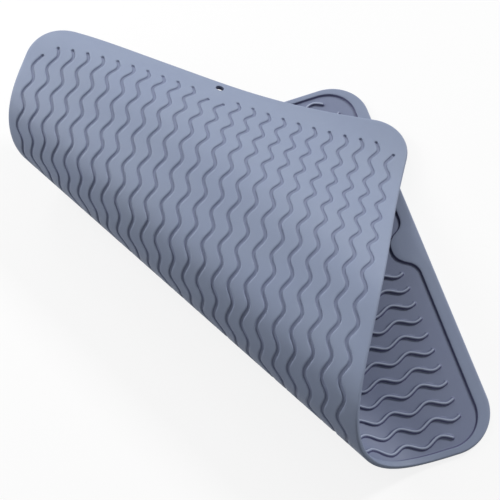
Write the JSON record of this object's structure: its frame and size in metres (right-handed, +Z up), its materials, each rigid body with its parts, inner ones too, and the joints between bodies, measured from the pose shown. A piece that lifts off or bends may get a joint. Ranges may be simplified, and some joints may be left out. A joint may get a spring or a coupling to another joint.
{
  "type": "heat mat",
  "caption": "Thin moulded silicone mat for hot hair tools: wave ribs inside a raised rim, wave grooves on the back, a hanging hole; shown folded over.",
  "frame": {"origin": "on the underside of the base panel, 60 mm in from the middle of the end that stays on the table", "axes": "+Z up from the table, +X along the mat's length towards the end that stays on the table, +Y across its width"},
  "size_m": [0.2146, 0.2968, 0.0486],
  "materials": {
    "silicone": "matte, fine satin sheen"
  },
  "bodies": {
    "base_panel": {"base_panel": "silicone"},
    "bend_1": {"bend_1": "silicone"},
    "bend_2": {"bend_2": "silicone"},
    "bend_3": {"bend_3": "silicone"},
    "bend_4": {"bend_4": "silicone"},
    "bend_5": {"bend_5": "silicone"},
    "bend_6": {"bend_6": "silicone"},
    "bend_7": {"bend_7": "silicone"},
    "droop_1": {"droop_1": "silicone"},
    "droop_2": {"droop_2": "silicone"},
    "settle_1": {"settle_1": "silicone"},
    "settle_2": {"settle_2": "silicone"}
  },
  "joints": [
    {"name": "fold", "type": "hinge", "parent": "base_panel", "child": "bend_1", "pos_m": [-0.05026, 0.02295, 0], "axis": [0.5, -0.866, 0], "range_deg": [0, 9.97]},
    {"name": "bend_2_hinge", "type": "hinge", "parent": "bend_1", "child": "bend_2", "pos_m": [-0.06244, 0.01591, 0.00247], "axis": [0.5, -0.866, 0], "range_deg": [0, 25.72]},
    {"name": "bend_3_hinge", "type": "hinge", "parent": "bend_2", "child": "bend_3", "pos_m": [-0.07249, 0.01011, 0.01081], "axis": [0.5, -0.866, 0], "range_deg": [0, 35.16]},
    {"name": "bend_4_hinge", "type": "hinge", "parent": "bend_3", "child": "bend_4", "pos_m": [-0.07655, 0.00777, 0.0243], "axis": [0.5, -0.866, 0], "range_deg": [0, 38.31]},
    {"name": "bend_5_hinge", "type": "hinge", "parent": "bend_4", "child": "bend_5", "pos_m": [-0.07249, 0.01011, 0.0378], "axis": [0.5, -0.866, 0], "range_deg": [0, 35.16]},
    {"name": "bend_6_hinge", "type": "hinge", "parent": "bend_5", "child": "bend_6", "pos_m": [-0.06244, 0.01591, 0.04613], "axis": [0.5, -0.866, 0], "range_deg": [0, 25.72]},
    {"name": "bend_7_hinge", "type": "hinge", "parent": "bend_6", "child": "bend_7", "pos_m": [-0.05026, 0.02295, 0.0486], "axis": [0.5, -0.866, 0], "range_deg": [0, 9.97]},
    {"name": "droop_1_hinge", "type": "hinge", "parent": "bend_7", "child": "droop_1", "pos_m": [-0.02715, 0.03629, 0.0486], "axis": [0.5, -0.866, 0], "range_deg": [0, 16.82]},
    {"name": "droop_2_hinge", "type": "hinge", "parent": "droop_1", "child": "droop_2", "pos_m": [-0.00808, 0.0473, 0.04195], "axis": [0.5, -0.866, 0], "range_deg": [0, 16.82]},
    {"name": "settle_1_hinge", "type": "hinge", "parent": "droop_2", "child": "settle_1", "pos_m": [0.02509, 0.06645, 0.01646], "axis": [0.5, -0.866, 0], "range_deg": [-14.82, 0]},
    {"name": "settle_2_hinge", "type": "hinge", "parent": "settle_1", "child": "settle_2", "pos_m": [0.05048, 0.0811, 0.00647], "axis": [0.5, -0.866, 0], "range_deg": [-14.82, 0]}
  ],
  "couplings": [
    {"joint": "bend_2_hinge", "follows": "fold", "ratio": 2.5789},
    {"joint": "bend_3_hinge", "follows": "fold", "ratio": 3.5263},
    {"joint": "bend_4_hinge", "follows": "fold", "ratio": 3.842},
    {"joint": "bend_5_hinge", "follows": "fold", "ratio": 3.5263},
    {"joint": "bend_6_hinge", "follows": "fold", "ratio": 2.5789},
    {"joint": "bend_7_hinge", "follows": "fold", "ratio": 0.99998},
    {"joint": "droop_1_hinge", "follows": "fold", "ratio": 1.6871},
    {"joint": "droop_2_hinge", "follows": "fold", "ratio": 1.6871},
    {"joint": "settle_1_hinge", "follows": "fold", "ratio": -1.4865},
    {"joint": "settle_2_hinge", "follows": "fold", "ratio": -1.4865}
  ]
}
